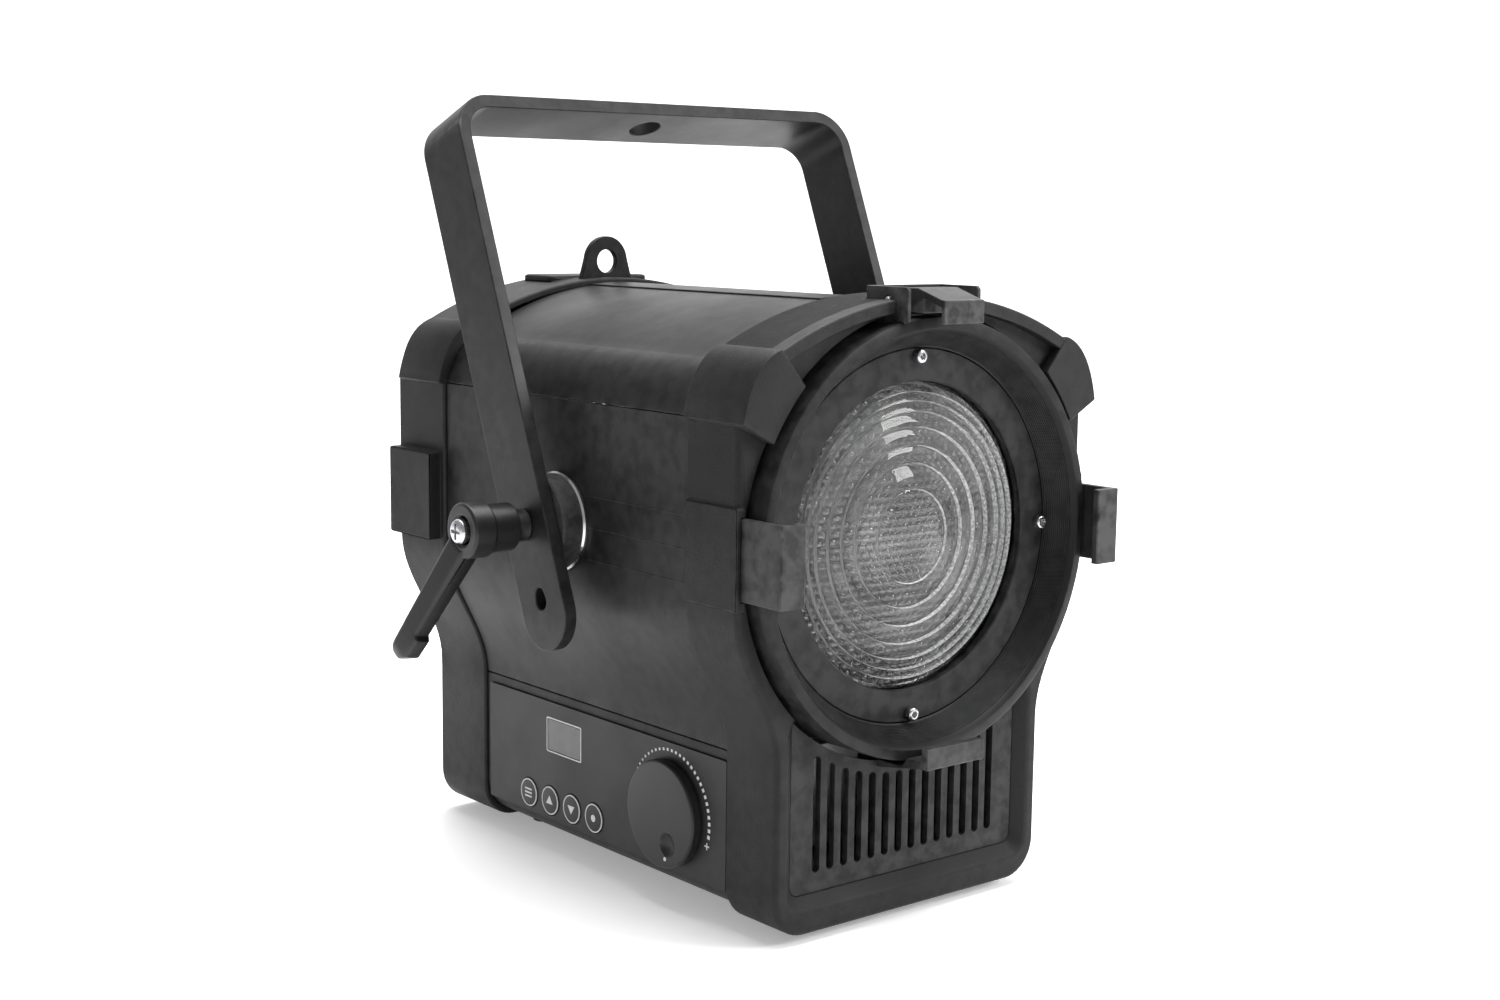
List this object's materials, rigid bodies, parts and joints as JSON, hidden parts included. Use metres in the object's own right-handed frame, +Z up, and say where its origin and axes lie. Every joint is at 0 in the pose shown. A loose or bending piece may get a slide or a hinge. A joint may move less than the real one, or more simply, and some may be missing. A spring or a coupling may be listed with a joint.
{
  "type": "led fresnel spotlight",
  "caption": "Stage spotlight: cast housing with a ringed Fresnel lens, colour-frame clips, a side control panel with a zoom knob, and a bail yoke with clamping levers.",
  "frame": {"origin": "middle of the whole object's plan, on the surface the feet stand on", "axes": "+X to the right seen from the front, the beam leaves along -Y, +Z up"},
  "size_m": [0.2914, 0.2592, 0.3188],
  "materials": {
    "cast_paint": "fine-textured black powder coat on a die casting",
    "sheet_paint": "smooth satin black paint on sheet aluminium",
    "tray_paint": "satin black paint on sheet metal",
    "ring_paint": "matt black anodised-look paint with turned grooves",
    "yoke_paint": "satin black paint on a steel flat bar",
    "clip_paint": "worn matt black paint on folded steel",
    "label_film": "dark grey printed polyester film",
    "key_film": "black domed film with a white ring",
    "black_plastic": "moulded black glass-filled plastic",
    "zinc": "bright zinc plate",
    "steel": "machined steel",
    "aluminium": "mill-finish aluminium",
    "lens_glass": "clear pressed borosilicate, stippled back",
    "display_glass": "smoked display window",
    "rubber": "black rubber",
    "friction_fibre": "dark pressed fibre disc with a bright flange",
    "circuit_board": "green solder mask",
    "led_phosphor": "yellow phosphor over a white ceramic board",
    "bright_reflector": "bright aluminised cone"
  },
  "bodies": {
    "housing": {"front_bezel": "cast_paint", "rear_bezel": "cast_paint", "top_cover": "sheet_paint", "side_panel_left": "sheet_paint", "side_panel_right": "sheet_paint", "base_tray": "tray_paint", "control_panel": "label_film", "foot_front_left": "rubber", "foot_front_right": "rubber", "foot_rear_left": "rubber", "foot_rear_right": "rubber", "lens_ring": "ring_paint", "lens_retainer": "ring_paint", "retainer_screw_top": "zinc", "retainer_screw_right": "zinc", "retainer_screw_bottom": "zinc", "retainer_screw_left": "zinc", "lens_gasket": "rubber", "fresnel_lens": "lens_glass", "frame_clip_left": "clip_paint", "frame_clip_right": "clip_paint", "frame_clip_bottom": "clip_paint", "latch_bracket": "clip_paint", "latch_pin": "steel", "safety_eye": "sheet_paint", "friction_disc_left": "friction_fibre", "friction_disc_right": "friction_fibre", "display_window": "display_glass", "control_board": "circuit_board", "chassis": "aluminium", "guide_rod_left": "steel", "guide_rod_right": "steel", "power_supply": "aluminium", "rear_panel": "sheet_paint", "fan_frame": "black_plastic", "fan_guard": "zinc", "power_inlet": "black_plastic", "power_outlet": "black_plastic", "data_input": "black_plastic", "data_output": "black_plastic"},
    "bail": {"yoke": "yoke_paint"},
    "latch": {"top_latch": "clip_paint"},
    "left_stud": {"clamp_stud_left": "steel", "lever_screw_left": "zinc"},
    "left_lever": {"clamp_lever_left": "black_plastic"},
    "right_stud": {"clamp_stud_right": "steel", "lever_screw_right": "zinc"},
    "right_lever": {"clamp_lever_right": "black_plastic"},
    "zoom_drive": {"zoom_knob": "black_plastic", "zoom_shaft": "steel"},
    "light_engine": {"led_carriage": "aluminium", "heat_sink": "aluminium", "led_module": "led_phosphor", "collimator": "bright_reflector", "zoom_rack": "steel"},
    "menu_button": {"key_menu": "key_film"},
    "up_button": {"key_up": "key_film"},
    "down_button": {"key_down": "key_film"},
    "enter_button": {"key_enter": "key_film"},
    "fan_wheel": {"fan_rotor": "black_plastic"}
  },
  "joints": [
    {"name": "yoke_tilt", "type": "hinge", "parent": "housing", "child": "bail", "pos_m": [0, 0.00685, 0.15], "axis": [1, 0, 0], "range_deg": [-105, 150]},
    {"name": "left_clamp_turn", "type": "hinge", "parent": "housing", "child": "left_stud", "pos_m": [-0.11, 0.00685, 0.15], "axis": [-1, 0, 0], "range_deg": [0, 360]},
    {"name": "left_lever_pull", "type": "slide", "parent": "left_stud", "child": "left_lever", "axis": [-1, 0, 0], "range_m": [0, 0.004], "stiffness_N_per_m": 400, "springref_m": -0.003},
    {"name": "right_clamp_turn", "type": "hinge", "parent": "housing", "child": "right_stud", "pos_m": [0.11, 0.00685, 0.15], "axis": [1, 0, 0], "range_deg": [0, 360]},
    {"name": "right_lever_pull", "type": "slide", "parent": "right_stud", "child": "right_lever", "axis": [1, 0, 0], "range_m": [0, 0.004], "stiffness_N_per_m": 400, "springref_m": -0.003},
    {"name": "latch_lift", "type": "hinge", "parent": "housing", "child": "latch", "pos_m": [0, -0.10665, 0.241], "axis": [-1, 0, 0], "range_deg": [0, 55], "stiffness_Nm_per_rad": 0.02, "springref_deg": -28.65},
    {"name": "carriage_slide", "type": "slide", "parent": "housing", "child": "light_engine", "axis": [0, 1, 0], "range_m": [0, 0.0424]},
    {"name": "zoom_turn", "type": "hinge", "parent": "housing", "child": "zoom_drive", "pos_m": [-0.07, -0.04195, 0.0387], "axis": [-1, 0, 0], "range_deg": [0, 270]},
    {"name": "fan_spin", "type": "hinge", "parent": "housing", "child": "fan_wheel", "pos_m": [0, 0.10935, 0.15], "axis": [0, 1, 0], "continuous": true},
    {"name": "menu_press", "type": "slide", "parent": "housing", "child": "menu_button", "axis": [1, 0, 0], "range_m": [0, 0.0006], "stiffness_N_per_m": 800, "springref_m": -0.0005},
    {"name": "up_press", "type": "slide", "parent": "housing", "child": "up_button", "axis": [1, 0, 0], "range_m": [0, 0.0006], "stiffness_N_per_m": 800, "springref_m": -0.0005},
    {"name": "down_press", "type": "slide", "parent": "housing", "child": "down_button", "axis": [1, 0, 0], "range_m": [0, 0.0006], "stiffness_N_per_m": 800, "springref_m": -0.0005},
    {"name": "enter_press", "type": "slide", "parent": "housing", "child": "enter_button", "axis": [1, 0, 0], "range_m": [0, 0.0006], "stiffness_N_per_m": 800, "springref_m": -0.0005}
  ],
  "couplings": [
    {"joint": "zoom_turn", "follows": "carriage_slide", "rad_per_m": 111.11}
  ]
}
